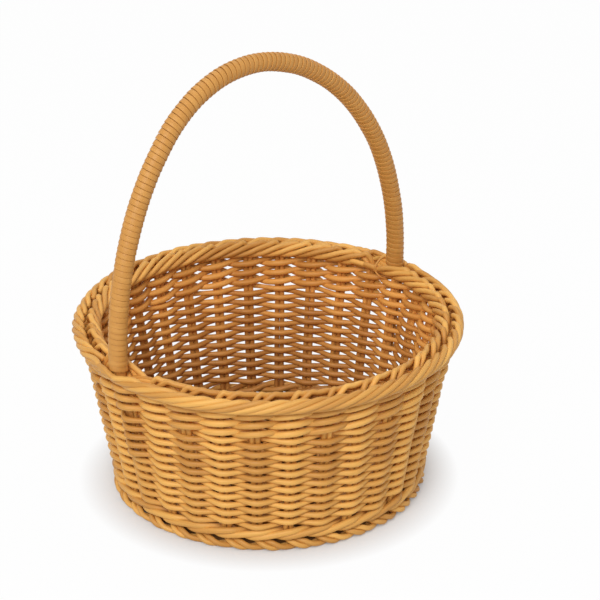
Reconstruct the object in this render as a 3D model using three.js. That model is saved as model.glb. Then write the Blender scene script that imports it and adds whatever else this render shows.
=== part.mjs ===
import * as THREE from 'three';

// A handled basket woven from round synthetic cane: paired stakes, a randed wall between two wales,
// a rolled border and foot made of the stakes' own ends, a woven base and a fixed hoop handle.
// The origin is at the middle of the foot, on the ground, with the handle's legs at plus and minus X.

// Driving dimensions, in millimetres

// Cane
const seatGap = 0.3;
const stakeRod = 4;
const stakePairWidth = 8.3;
const weaverRod = 3.7;
const waleRod = 3.7;
const stickRod = 3.2;
const baseCaneWidth = 7.4;
const baseCaneThickness = 3.2;

// Wall: stakes lean outwards on a straight line, from the ground to just inside the border's middle
const stakeCount = 32;
const stakeRadiusAtGround = 114.5;
const stakeInsideBorder = 1;
const lowerWaleHeight = 13.8;
const randingHeight = 21.4;
const randingPitch = 3.98;
const turnsPerWeaver = 5;
const weaverLengths = 2;
const upperWaleRows = 3;
const waleRowPitch = 8.1;
const waleRodRise = 4.1;
const seamStake = 12;
const stepUpStakes = 3;
const spliceGap = 0.5;

// Rolled border at the rim and the foot
const rimOuterRadius = 150;
const rimHalfWidth = 11;
const rimHalfHeight = 8.5;
const rimSeat = 0.9;
const rimRisePerStake = 9.5;
const stakesPassed = 3;
const footHeight = 9.4;
const footOuterRadius = 124;
const footPadRadius = 113.4;
const padThickness = 3.4;

// Routes of a strand round the foot and the border. Each pair gives how far past its stake the
// strand is, in stake spacings, and its place on the roll, in degrees: 0 faces out, 90 is the top.
const padTurns = { inner: 1.3, outer: 1 };
const footRoute = [[0.7, -42], [0.45, 5], [0.2, 50]];
const borderRoute = [[0.06, 102], [0.3, 128], [0.6, 158], [0.95, 196], [1.26, 235], [1.5, 270]];
const climbStartTurn = 1.72;
const climbDegrees = [-58, -34, -10, 14, 38, 62];
const climbDegreesBeforeLeg = [-58, -34, -10, 14, 27];

// Base
const baseHeight = 13.8;
const baseFirstRowRadius = 27;
const baseRowPitch = 8;
const crossSticks = 4;
const crossStickPitch = 5;
const crossHalfLength = 12;
const fanRadius = 23;

// Handle: its legs stand a little to one side of their stakes, and the arch leans to one leg
const legPastRimMiddle = 1;
const legStraight = 6;
const archTopHeight = 340;
const archSkew = 13.5;
const skewSharpness = 3;
const legOffset = 5.1;
const coreRadius = 5.8;
const tongueWidth = 8;
const tongueThickness = 2.4;
const tongueDepth = 78;
const tongueEasing = 6;
const legShoulder = 1.2;
const ribbonPitch = 8.7;
const ribbonGap = 0.55;
const ribbonThickness = 1.5;
const ribbonLift = 0.4;

// How finely curves are drawn
const archSteps = 34;
const wrapSides = 6;
const gapPrintDigits = 2;

// Sizes that follow from the driving dimensions
const spacing = (2 * Math.PI) / stakeCount;
const stakeHalf = stakeRod / 2;
const pairHalf = stakePairWidth / 2;
const weaverHalf = weaverRod / 2;
const waleHalf = waleRod / 2;
const randingTop = randingHeight + (2 * turnsPerWeaver * weaverLengths - 1) * randingPitch + weaverHalf;
const waleLift = waleRodRise / 2;
const upperWaleHeight = randingTop + seatGap + waleLift + waleHalf;
const upperWaleTop = upperWaleHeight + (upperWaleRows - 1) * waleRowPitch + waleLift + waleHalf;
const rimCentreRadius = rimOuterRadius - rimHalfWidth;
const rimCentreHeight = upperWaleTop + rimSeat + rimHalfHeight;
const rimTop = rimCentreHeight + rimHalfHeight;
const wallLean = (rimCentreRadius - stakeInsideBorder - stakeRadiusAtGround) / rimCentreHeight;
const handleReach = rimCentreRadius + legPastRimMiddle;
const archCentreHeight = rimTop + legStraight;

// Colours and finishes
const caneColour = 0xd9a253;
const wrapColour = 0xd6a05a;
const innerCaneColour = 0xbd7c3c;

function caneMaterial(colour) {
  return new THREE.MeshStandardMaterial({ color: colour, roughness: 0.5, metalness: 0 });
}

// Points are placed by radius, angle and height about the basket's axis
function polar(radius, angle, height) {
  return new THREE.Vector3(radius * Math.cos(angle), radius * Math.sin(angle), height);
}

function stakeRadius(height) {
  return stakeRadiusAtGround + wallLean * height;
}

// One closed body drawn through rings of points, all with the same number of corners
function loft(rings) {
  const corners = rings[0].length;
  const positions = [];
  for (const ring of rings) {
    for (const point of ring) positions.push(point.x, point.y, point.z);
  }
  const faces = [];
  for (let i = 0; i + 1 < rings.length; i += 1) {
    for (let j = 0; j < corners; j += 1) {
      const next = (j + 1) % corners;
      const a = i * corners + j;
      const b = i * corners + next;
      const c = a + corners;
      const d = b + corners;
      faces.push([a, b, d], [a, d, c]);
    }
  }
  const last = (rings.length - 1) * corners;
  for (let j = 1; j + 1 < corners; j += 1) {
    faces.push([0, j + 1, j], [last, last + j, last + j + 1]);
  }
  const flip = signedVolume(positions, faces) < 0;
  const index = faces.flatMap(([a, b, c]) => (flip ? [a, c, b] : [a, b, c]));
  const geometry = new THREE.BufferGeometry();
  geometry.setAttribute('position', new THREE.Float32BufferAttribute(positions, 3));
  geometry.setIndex(index);
  geometry.computeVertexNormals();
  return geometry;
}

function signedVolume(positions, faces) {
  const corner = (i) => new THREE.Vector3().fromArray(positions, 3 * i);
  let sum = 0;
  for (const [a, b, c] of faces) sum += corner(a).dot(corner(b).cross(corner(c)));
  return sum;
}

const basket = new THREE.Group();

function addPiece(name, geometry, colour) {
  const mesh = new THREE.Mesh(geometry, caneMaterial(colour));
  mesh.name = name;
  basket.add(mesh);
}

// Stakes: each pair of canes is one flat strand, from its pad under the foot, up the wall
// and round the border. A station on it gives the angle past the stake, in stake spacings,
// the radius and height of its middle and the way that its outer face looks.
function ringStation(turn, degrees, centreRadius, centreHeight, radialReach, heightReach) {
  const angle = THREE.MathUtils.degToRad(degrees);
  const reach = new THREE.Vector2(Math.cos(angle) * radialReach, Math.sin(angle) * heightReach);
  const face = new THREE.Vector2(Math.cos(angle) / radialReach, Math.sin(angle) / heightReach).normalize();
  return { turn, radius: centreRadius + reach.x, height: centreHeight + reach.y, face };
}

const footCentreRadius = footOuterRadius - pairHalf - stakeHalf;
const footCentreHeight = footHeight / 2;
const footRadialReach = pairHalf;
const footHeightReach = footHeight / 2 - stakeHalf;

function footStations() {
  const pad = new THREE.Vector2(0, -1);
  const onPad = { height: padThickness / 2, face: pad, flat: true };
  const round = footRoute.map(([turn, degrees]) =>
    ringStation(turn, degrees, footCentreRadius, footCentreHeight, footRadialReach, footHeightReach),
  );
  return [
    { turn: padTurns.inner, radius: footPadRadius, ...onPad },
    { turn: padTurns.outer, radius: footCentreRadius, ...onPad },
    ...round,
  ];
}

function wallStation(height) {
  return { turn: 0, radius: stakeRadius(height), height, face: new THREE.Vector2(1, -wallLean).normalize() };
}

function wallStations() {
  return [footHeight + seatGap, rimCentreHeight].map(wallStation);
}

// Over the border the strand bends inwards, dives under it midway between two stakes and then
// climbs its outside at a steady rate, to end in the groove on top, or before a handle leg.
function rimStations(endsBeforeLeg) {
  const radialReach = rimHalfWidth - stakeHalf;
  const heightReach = rimHalfHeight - stakeHalf;
  const station = ([turn, degrees]) =>
    ringStation(turn, degrees, rimCentreRadius, rimCentreHeight, radialReach, heightReach);
  const inside = borderRoute.map(station);
  const climb = endsBeforeLeg ? climbDegreesBeforeLeg : climbDegrees;
  const outside = [];
  let turn = climbStartTurn;
  climb.forEach((degrees, i) => {
    const here = station([0, degrees]);
    const before = station([0, climb[Math.max(i - 1, 0)]]);
    turn += Math.hypot(here.radius - before.radius, here.height - before.height) / rimRisePerStake;
    outside.push(station([turn, degrees]));
  });
  return [...inside, ...outside];
}

function stakePair(stakeAngle, endsBeforeLeg) {
  const stations = [...footStations(), ...wallStations(), ...rimStations(endsBeforeLeg)];
  const middles = stations.map((at) => polar(at.radius, stakeAngle + at.turn * spacing, at.height));
  const rings = stations.map((at, i) => {
    const before = middles[Math.max(i - 1, 0)];
    const after = middles[Math.min(i + 1, middles.length - 1)];
    const along = after.clone().sub(before).normalize();
    const face = polar(at.face.x, stakeAngle + at.turn * spacing, at.face.y);
    if (!at.flat) face.addScaledVector(along, -face.dot(along)).normalize();
    const across = along.clone().cross(face).normalize();
    return at.flat ? padRing(middles[i], face, across) : pairRing(middles[i], face, across);
  });
  return loft(rings);
}

// The strand is a flat diamond, thick where the two canes meet the weave and thin at its edges
function pairRing(middle, face, across) {
  return [
    middle.clone().addScaledVector(face, stakeHalf),
    middle.clone().addScaledVector(across, pairHalf),
    middle.clone().addScaledVector(face, -stakeHalf),
    middle.clone().addScaledVector(across, -pairHalf),
  ];
}

// Under the foot it is squared, so that the basket stands on flat pads
function padRing(middle, face, across) {
  const corners = [[1, 1], [-1, 1], [-1, -1], [1, -1]];
  return corners.map(([out, side]) =>
    middle
      .clone()
      .addScaledVector(face, (out * padThickness) / 2)
      .addScaledVector(across, side * pairHalf),
  );
}

for (let i = 0; i < stakeCount; i += 1) {
  const endsBeforeLeg = (i + stakesPassed) % (stakeCount / 2) === 0;
  const geometry = stakePair(i * spacing, endsBeforeLeg);
  addPiece(`stake_pair_${String(i + 1).padStart(2, '0')}`, geometry, caneColour);
}

// Weaving: a strand passes each stake outside or inside it, and bulges round the handle's tongues
const tongueBottom = rimTop - tongueDepth;

function passRadius(stake, height, side, half) {
  const opposite = stakeCount / 2;
  const besideTongue = side > 0 && stake % opposite === 0 && height > tongueBottom - weaverRod;
  const extra = besideTongue ? tongueThickness + seatGap + tongueWidth / tongueEasing : 0;
  return stakeRadius(height) + side * (stakeHalf + seatGap + half + extra);
}

function diamondRing(radius, angle, height, half) {
  return [
    polar(radius + half, angle, height),
    polar(radius, angle, height + half),
    polar(radius - half, angle, height),
    polar(radius, angle, height - half),
  ];
}

// Rows lie level and step up together over the last few stakes before the seam
function stepUp(step) {
  const turn = Math.floor(step / stakeCount);
  const inTurn = step - turn * stakeCount;
  return turn + Math.max(0, (inTurn - (stakeCount - stepUpStakes)) / stepUpStakes);
}

function spliceEnd(rings) {
  const trim = spliceGap / 2;
  const shorten = (ring, next) => {
    const toward = next[0].clone().sub(ring[0]);
    const share = trim / toward.length();
    return ring.map((point, j) => point.clone().lerp(next[j], share));
  };
  const first = shorten(rings[0], rings[1]);
  const last = shorten(rings[rings.length - 1], rings[rings.length - 2]);
  return [first, ...rings.slice(1, -1), last];
}

// Two weavers chase each other round the wall, each outside the stakes that the other is inside
function sideWeaver(startTurn, parity) {
  const rings = [];
  const ends = startTurn + turnsPerWeaver === turnsPerWeaver * weaverLengths;
  const steps = turnsPerWeaver * stakeCount - (ends ? stepUpStakes : 0);
  for (let step = 0; step <= steps; step += 1) {
    const stake = seamStake + step;
    const rows = 2 * (startTurn + stepUp(step)) + parity;
    const height = randingHeight + rows * randingPitch;
    const side = (stake + parity) % 2 === 0 ? 1 : -1;
    const radius = passRadius(stake, height, side, weaverHalf);
    rings.push(diamondRing(radius, stake * spacing, height, weaverHalf));
  }
  return loft(spliceEnd(rings));
}

for (let length = 0; length < weaverLengths; length += 1) {
  for (const [parity, letter] of ['a', 'b'].entries()) {
    const geometry = sideWeaver(length * turnsPerWeaver, parity);
    addPiece(`side_weaver_${letter}_${length + 1}`, geometry, caneColour);
  }
}

// A wale rod lies outside a stake (side 1), inside it (side -1) or between two stakes (side 0)
const midway = 0.5;

function waleRing(rowHeight, step, side, lift) {
  const height = rowHeight + lift;
  const radius = side === 0 ? stakeRadius(height) : passRadius(seamStake + step, height, side, waleHalf);
  return diamondRing(radius, (seamStake + step) * spacing, height, waleHalf);
}

// Lower wale, three rods: each passes outside two stakes, rising, then inside one.
// Where one rod goes in, another comes out under it.
const waleRods = 3;

function lowerWaleRod(rod) {
  const rings = [];
  const add = (step, side, lift) => rings.push(waleRing(lowerWaleHeight, step, side, lift));
  for (let step = 0; step <= stakeCount; step += 1) {
    const phase = (step + rod) % waleRods;
    const goesOn = step < stakeCount;
    if (phase === 0) add(step, 1, -waleLift);
    if (phase === 1) add(step, 1, waleLift);
    if (phase === 1 && goesOn) add(step + midway, 0, waleLift);
    if (phase === 2) add(step, -1, 0);
    if (phase === 2 && goesOn) add(step + midway, 0, -waleLift);
  }
  return loft(spliceEnd(rings));
}

for (let rod = 0; rod < waleRods; rod += 1) {
  addPiece(`lower_wale_rod_${rod + 1}`, lowerWaleRod(rod), caneColour);
}

// Upper wale, three rows of two strands: at each stake one lies outside and the other inside.
// Between stakes they change places, and the one that goes in passes over the one that comes out.
// The first strand is one rod. The second is two, spliced behind the stake nearest the middle.
const upperSteps = upperWaleRows * stakeCount - stepUpStakes;
const upperHalf = Math.floor(upperSteps / 2);
const upperSplice = upperHalf - (upperHalf % 2);

function upperWaleRod(firstStep, lastStep, parity) {
  const rings = [];
  const add = (step, side, lift) =>
    rings.push(waleRing(upperWaleHeight + stepUp(step) * waleRowPitch, step, side, lift));
  for (let step = firstStep; step <= lastStep; step += 1) {
    const side = (step + parity) % 2 === 0 ? 1 : -1;
    add(step, side, 0);
    if (step < lastStep) add(step + midway, 0, side * waleLift);
  }
  return loft(spliceEnd(rings));
}

addPiece('upper_wale_rod_1', upperWaleRod(0, upperSteps, 0), caneColour);
addPiece('upper_wale_rod_2', upperWaleRod(0, upperSplice, 1), caneColour);
addPiece('upper_wale_rod_3', upperWaleRod(upperSplice, upperSteps, 1), caneColour);

// Base: two sets of sticks cross in the middle and fan out to spokes, and two flat canes
// chase each other outwards over and under them
const spokeCount = 4 * crossSticks;
const spokeAngle = (2 * Math.PI) / spokeCount;
const baseRadius = stakeRadius(baseHeight) - stakeHalf - 2 * seatGap - waleRod;

function baseStick(index, quarterTurn, side) {
  const lane = index - (crossSticks - 1) / 2;
  const offset = lane * crossStickPitch;
  const fan = lane * spokeAngle;
  const half = stickRod / 2;
  const crossing = baseHeight + (side * (stickRod + seatGap)) / 2;
  const end = [
    [crossHalfLength, offset, crossing],
    [fanRadius * Math.cos(fan), fanRadius * Math.sin(fan), baseHeight],
    [baseRadius * Math.cos(fan), baseRadius * Math.sin(fan), baseHeight],
  ];
  const otherEnd = end.map(([x, y, z]) => [-x, y, z]).reverse();
  const rings = [...otherEnd, ...end].map(([x, y, z]) => [
    new THREE.Vector3(x, y + half, z),
    new THREE.Vector3(x, y, z + half),
    new THREE.Vector3(x, y - half, z),
    new THREE.Vector3(x, y, z - half),
  ]);
  const geometry = loft(rings);
  geometry.rotateZ(quarterTurn);
  return geometry;
}

for (let i = 0; i < crossSticks; i += 1) {
  addPiece(`base_stick_lower_${i + 1}`, baseStick(i, 0, -1), innerCaneColour);
  addPiece(`base_stick_upper_${i + 1}`, baseStick(i, Math.PI / 2, 1), innerCaneColour);
}

function baseWeaver(parity) {
  const lift = (stickRod + baseCaneThickness) / 2 + seatGap;
  const outermost = baseRadius - seatGap - baseCaneWidth / 2;
  const rings = [];
  for (let step = 0; ; step += 1) {
    const radius = baseFirstRowRadius + baseRowPitch * ((2 * step) / spokeCount + parity);
    if (radius > outermost) break;
    const angle = (step + 0.5) * spokeAngle;
    const side = (step + parity) % 2 === 0 ? 1 : -1;
    const height = baseHeight + side * lift;
    rings.push([
      polar(radius + baseCaneWidth / 2, angle, height),
      polar(radius, angle, height + baseCaneThickness / 2),
      polar(radius - baseCaneWidth / 2, angle, height),
      polar(radius, angle, height - baseCaneThickness / 2),
    ]);
  }
  return loft(rings);
}

addPiece('base_weaver_a', baseWeaver(0), innerCaneColour);
addPiece('base_weaver_b', baseWeaver(1), innerCaneColour);

// Handle: a hoop whose legs are cut back to tongues, which go down through the border outside a
// stake. The tongue is left of one side of the leg, so the leg stands beside its stake.
function handleStations() {
  const archReach = archTopHeight - archCentreHeight;
  const tongueOffset = stakeHalf + seatGap + tongueThickness / 2;
  const tongue = (side, height) => ({
    at: new THREE.Vector3(side * (stakeRadius(height) + tongueOffset), 0, height),
    along: new THREE.Vector3(wallLean, 0, side),
    across: tongueWidth / 2,
    deep: tongueThickness / 2,
  });
  const round = (x, height, along) => {
    const at = new THREE.Vector3(x, legOffset, height);
    return { at, along, across: coreRadius, deep: coreRadius };
  };
  const leg = (side) => [
    tongue(side, tongueBottom),
    tongue(side, rimTop - rimHalfHeight),
    tongue(side, rimTop),
    round(side * handleReach, rimTop + legShoulder, new THREE.Vector3(0, 0, side)),
  ];
  const arch = [];
  for (let i = 0; i <= archSteps; i += 1) {
    const angle = (Math.PI * i) / archSteps;
    const rise = Math.sin(angle);
    const lean = archSkew * rise ** skewSharpness;
    const leanRate = skewSharpness * archSkew * rise ** (skewSharpness - 1) * Math.cos(angle);
    const along = new THREE.Vector3(-handleReach * rise - leanRate, 0, archReach * Math.cos(angle));
    arch.push(round(handleReach * Math.cos(angle) - lean, archCentreHeight + archReach * rise, along));
  }
  return [...leg(1), ...arch, ...leg(-1).reverse()];
}

function outwardOf(along) {
  return new THREE.Vector3(along.z, 0, -along.x).normalize();
}

function hexRing(middle, outward, across, deep) {
  const ring = [];
  for (let j = 0; j < wrapSides; j += 1) {
    const angle = (2 * Math.PI * j) / wrapSides;
    const point = middle.clone().addScaledVector(outward, deep * Math.sin(angle));
    point.y += across * Math.cos(angle);
    ring.push(point);
  }
  return ring;
}

function handleCore() {
  const rings = handleStations().map(({ at, along, across, deep }) =>
    hexRing(at, outwardOf(along), across, deep),
  );
  return loft(rings);
}

addPiece('handle_core', handleCore(), innerCaneColour);

// The wrap is one ribbon wound from leg to leg. Each turn is a wedge, thick at its upper edge.
function handleWrap() {
  const stations = handleStations().filter((station) => station.at.z > rimTop + seatGap);
  const curve = new THREE.CatmullRomCurve3(stations.map((station) => station.at));
  const length = curve.getLength();
  const ribbonWidth = ribbonPitch - ribbonGap;
  const turns = Math.floor((length - ribbonWidth) / ribbonPitch);
  const start = (length - turns * ribbonPitch) / 2;
  const inner = coreRadius + ribbonLift;
  const outer = inner + ribbonThickness;
  const rings = [];
  const corner = (distance, angle, radius) => {
    const share = distance / length;
    const middle = curve.getPointAt(share);
    middle.y += radius * Math.cos(angle);
    return middle.addScaledVector(outwardOf(curve.getTangentAt(share)), radius * Math.sin(angle));
  };
  for (let step = 0; step <= turns * wrapSides; step += 1) {
    const angle = (2 * Math.PI * step) / wrapSides;
    const distance = start + (step * ribbonPitch) / wrapSides;
    rings.push([
      corner(distance - ribbonWidth / 2, angle, inner),
      corner(distance + ribbonWidth / 2, angle, inner),
      corner(distance + ribbonWidth / 4, angle, outer),
    ]);
  }
  return rings;
}

// The least gap from one turn of the ribbon to the next, measured between their corners and edges
function leastGap(rings, perTurn) {
  let least = Infinity;
  for (let i = 0; i + perTurn < rings.length; i += 1) {
    const upper = rings[i + perTurn];
    const edge = new THREE.Line3(upper[0], upper[2]);
    for (const point of [rings[i][1], rings[i][2]]) {
      const near = edge.closestPointToPoint(point, true, new THREE.Vector3());
      least = Math.min(least, near.distanceTo(point));
    }
  }
  return least;
}

const wrapRings = handleWrap();
console.log(`handle wrap, least gap between turns: ${leastGap(wrapRings, wrapSides).toFixed(gapPrintDigits)} mm`);
addPiece('handle_wrap', loft(wrapRings), wrapColour);

export default basket;
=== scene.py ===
import math

import bpy
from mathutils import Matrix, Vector


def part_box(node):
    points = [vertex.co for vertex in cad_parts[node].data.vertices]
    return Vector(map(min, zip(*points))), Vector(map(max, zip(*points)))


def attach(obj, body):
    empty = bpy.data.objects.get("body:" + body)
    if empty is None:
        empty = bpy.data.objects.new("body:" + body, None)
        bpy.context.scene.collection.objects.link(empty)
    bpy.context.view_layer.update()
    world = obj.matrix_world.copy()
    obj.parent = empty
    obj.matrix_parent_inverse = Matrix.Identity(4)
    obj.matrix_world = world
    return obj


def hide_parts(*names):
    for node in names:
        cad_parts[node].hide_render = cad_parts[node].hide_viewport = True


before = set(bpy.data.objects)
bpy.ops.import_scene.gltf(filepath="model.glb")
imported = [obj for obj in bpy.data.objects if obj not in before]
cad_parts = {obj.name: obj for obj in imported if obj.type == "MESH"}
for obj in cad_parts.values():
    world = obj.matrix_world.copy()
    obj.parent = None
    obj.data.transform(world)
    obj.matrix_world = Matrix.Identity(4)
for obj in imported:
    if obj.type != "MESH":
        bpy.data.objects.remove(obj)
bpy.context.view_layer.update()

print("frame loaded,", len(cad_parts), "nodes")

# sizes that more than one piece uses, in metres
basket = {
    "stakes": 32,
    "cane": 0.0041,  # across a stake's cane
    "weaver": 0.0039,  # across a side weaver and a wale's rod
    "groundRadius": 0.1145,  # where the stakes' line meets the ground
    "insideBorder": 0.001,  # the stakes stand this far inside the border's middle
    "rimOuterRadius": 0.15,
    "rimHalfWidth": 0.011,
    "rimHalfHeight": 0.0085,
    "legReach": 0.14,  # the handle's legs stand at plus and minus this on X
    "legOffset": 0.0051,  # and here on Y
    "rimTop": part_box("stake_pair_01")[1].z,
    "seam": 12,  # the stake where weavers start
    "stepUp": 3,  # stakes over which a row climbs to the next
    "wobble": 0.0004,  # how far canes stray together
    "ownWobble": 0.00022,  # and each by itself
    "wobbleSize": 0.045,
}
spacing = 2 * math.pi / basket["stakes"]
rimRadius = basket["rimOuterRadius"] - basket["rimHalfWidth"]
rimHeight = basket["rimTop"] - basket["rimHalfHeight"]
wallLean = (rimRadius - basket["insideBorder"] - basket["groundRadius"]) / rimHeight


def polar(radius, angle, height):
    return Vector((radius * math.cos(angle), radius * math.sin(angle), height))


def stakeRadius(height):
    return basket["groundRadius"] + wallLean * height


# node trees

def addNode(tree, kind, inputs=None, **settings):
    made = tree.nodes.new(kind)
    made.location = (190 * len(tree.nodes), 0)  # side by side in the editor
    for name, value in settings.items():
        setattr(made, name, value)
    for name, value in (inputs or {}).items():
        socket = made.inputs[name]
        if isinstance(value, bpy.types.NodeSocket):
            tree.links.new(value, socket)
        else:
            socket.default_value = value
    return made


def calculate(tree, operation, *values):
    return addNode(tree, "ShaderNodeMath", dict(enumerate(values)), operation=operation).outputs[0]


def calculateVector(tree, operation, *values):
    kind = "ShaderNodeVectorMath"
    return addNode(tree, kind, dict(enumerate(values)), operation=operation).outputs[0]


def scaleVector(tree, vector, factor):
    kind = "ShaderNodeVectorMath"
    return addNode(tree, kind, {0: vector, "Scale": factor}, operation="SCALE").outputs[0]


def vectorLength(tree, vector):
    return addNode(tree, "ShaderNodeVectorMath", {0: vector}, operation="LENGTH").outputs["Value"]


def combine(tree, x=0.0, y=0.0, z=0.0):
    return addNode(tree, "ShaderNodeCombineXYZ", {0: x, 1: y, 2: z}).outputs[0]


def separate(tree, vector):
    return addNode(tree, "ShaderNodeSeparateXYZ", {0: vector}).outputs


def mapRange(tree, value, low, high, toLow=0.0, toHigh=1.0):
    return addNode(tree, "ShaderNodeMapRange", {
        "Value": value, "From Min": low, "From Max": high, "To Min": toLow, "To Max": toHigh,
    }).outputs[0]


# sockets 6 and 7 are the two colours and output 2 their mix
def mixColour(tree, factor, first, second):
    inputs = {"Factor": factor, 6: first, 7: second}
    return addNode(tree, "ShaderNodeMix", inputs, data_type="RGBA").outputs[2]


def position(tree):
    return addNode(tree, "GeometryNodeInputPosition").outputs[0]


def newTree(name, kind, sockets):
    tree = bpy.data.node_groups.new(name, kind)
    for label, inOut, socketType, value in sockets:
        socket = tree.interface.new_socket(label, in_out=inOut, socket_type=socketType)
        if value is not None:
            socket.default_value = value
    return tree, tree.nodes.new("NodeGroupInput").outputs, tree.nodes.new("NodeGroupOutput").inputs


def named(tree, name, dataType):
    kind = "GeometryNodeInputNamedAttribute"
    return addNode(tree, kind, {"Name": name}, data_type=dataType).outputs["Attribute"]


def storeNamed(tree, geometry, name, value, dataType, domain="POINT"):
    kind = "GeometryNodeStoreNamedAttribute"
    inputs = {"Geometry": geometry, "Name": name, "Value": value}
    return addNode(tree, kind, inputs, data_type=dataType, domain=domain).outputs[0]


# differs from cane to cane: the strand's own number and its copy's
def caneNumber(tree):
    return calculate(tree, "ADD", named(tree, "tint", "FLOAT"), named(tree, "copyTint", "FLOAT"))


# one point for each index, all in the middle until they are moved
def pointsInPlace(tree, count):
    return addNode(tree, "GeometryNodeMeshLine", {"Count": count, "Offset": (0, 0, 0)}).outputs[0]


def smoothCurves(tree, lines, steps):
    curves = addNode(tree, "GeometryNodeMeshToCurve", {"Mesh": lines}).outputs[0]
    kind = "GeometryNodeCurveSplineType"
    bent = addNode(tree, kind, {"Curve": curves}, spline_type="CATMULL_ROM").outputs[0]
    kind = "GeometryNodeSetSplineResolution"
    return addNode(tree, kind, {"Geometry": bent, "Resolution": steps}).outputs[0]


# one soft field moves neighbours together, and a weaker one of its own moves each cane
def makeHandTree():
    tree, given, result = newTree("unevenHand", "GeometryNodeTree", [
        ("Geometry", "INPUT", "NodeSocketGeometry", None),
        ("Amount", "INPUT", "NodeSocketFloat", 0.0004),
        ("Own Amount", "INPUT", "NodeSocketFloat", 0.0002),
        ("Size", "INPUT", "NodeSocketFloat", 0.045),
        ("Level Up To", "INPUT", "NodeSocketFloat", 0.02),
        ("Geometry", "OUTPUT", "NodeSocketGeometry", None),
    ])
    ownShift = 5.0  # metres, so that no two canes read the same noise
    noiseSpan = 4.0  # the noise strays about a quarter to each side of its middle
    place = position(tree)
    scale = calculate(tree, "DIVIDE", 1.0, given["Size"])
    own = combine(tree, calculate(tree, "MULTIPLY", caneNumber(tree), ownShift))
    moves = []
    for amount, at in (("Amount", place), ("Own Amount", calculateVector(tree, "ADD", place, own))):
        noise = addNode(tree, "ShaderNodeTexNoise", {"Vector": at, "Scale": scale, "Detail": 1.0})
        centred = calculateVector(tree, "SUBTRACT", noise.outputs["Color"], (0.5, 0.5, 0.5))
        moves.append(scaleVector(tree, centred, calculate(tree, "MULTIPLY", given[amount], noiseSpan)))
    level = combine(tree, 1.0, 1.0, mapRange(tree, separate(tree, place)[2], 0.0, given["Level Up To"]))
    offset = calculateVector(tree, "MULTIPLY", calculateVector(tree, "ADD", *moves), level)
    moved = addNode(tree, "GeometryNodeSetPosition", {"Geometry": given["Geometry"], "Offset": offset})
    tree.links.new(moved.outputs[0], result["Geometry"])
    return tree


# bends the border's canes out of the way of the handle's two legs
def makeLegTree():
    tree, given, result = newTree("roundLegs", "GeometryNodeTree", [
        ("Geometry", "INPUT", "NodeSocketGeometry", None),
        ("Leg Reach", "INPUT", "NodeSocketFloat", 0.14),
        ("Leg Offset", "INPUT", "NodeSocketFloat", 0.005),
        ("Clearance", "INPUT", "NodeSocketFloat", 0.0),
        ("Softness", "INPUT", "NodeSocketFloat", 0.026),
        ("Blend", "INPUT", "NodeSocketFloat", 0.7),
        ("From Height", "INPUT", "NodeSocketFloat", 0.13),
        ("Full Height", "INPUT", "NodeSocketFloat", 0.134),
        ("Geometry", "OUTPUT", "NodeSocketGeometry", None),
    ])
    parts = separate(tree, position(tree))
    past = calculate(tree, "SUBTRACT", calculate(tree, "ABSOLUTE", parts[0]), given["Leg Reach"])
    sideways = calculate(tree, "SUBTRACT", parts[1], given["Leg Offset"])
    square = calculate(tree, "POWER", calculate(tree, "DIVIDE", sideways, given["Softness"]), 2.0)
    bell = calculate(tree, "EXPONENT", calculate(tree, "MULTIPLY", square, -1.0))
    rise = mapRange(tree, parts[2], given["From Height"], given["Full Height"])
    need = calculate(tree, "MULTIPLY", calculate(tree, "MULTIPLY", bell, rise), given["Clearance"])
    away = calculate(tree, "ABSOLUTE", past)
    soft = calculate(tree, "MULTIPLY", need, given["Blend"])
    more = calculate(tree, "SUBTRACT", calculate(tree, "SMOOTH_MAX", away, need, soft), away)
    signs = calculate(tree, "MULTIPLY", calculate(tree, "SIGN", past), calculate(tree, "SIGN", parts[0]))
    offset = combine(tree, calculate(tree, "MULTIPLY", more, signs))
    moved = addNode(tree, "GeometryNodeSetPosition", {"Geometry": given["Geometry"], "Offset": offset})
    tree.links.new(moved.outputs[0], result["Geometry"])
    return tree


# leaves the place along and round the cane in "grain" and a number for each cane in "tint"
def finishCane(tree, swept, material, output):
    around = separate(tree, named(tree, "section", "FLOAT_VECTOR"))
    grain = combine(tree, around[0], around[1], named(tree, "along", "FLOAT"))
    grained = storeNamed(tree, swept, "grain", grain, "FLOAT_VECTOR")
    tinted = storeNamed(tree, grained, "tint", calculate(tree, "FRACT", caneNumber(tree)), "FLOAT")
    smooth = addNode(tree, "GeometryNodeSetShadeSmooth", {"Geometry": tinted}).outputs[0]
    realized = addNode(tree, "GeometryNodeRealizeInstances", {"Geometry": smooth}).outputs[0]
    inputs = {"Geometry": realized, "Material": material}
    tree.links.new(addNode(tree, "GeometryNodeSetMaterial", inputs).outputs[0], output)


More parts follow.
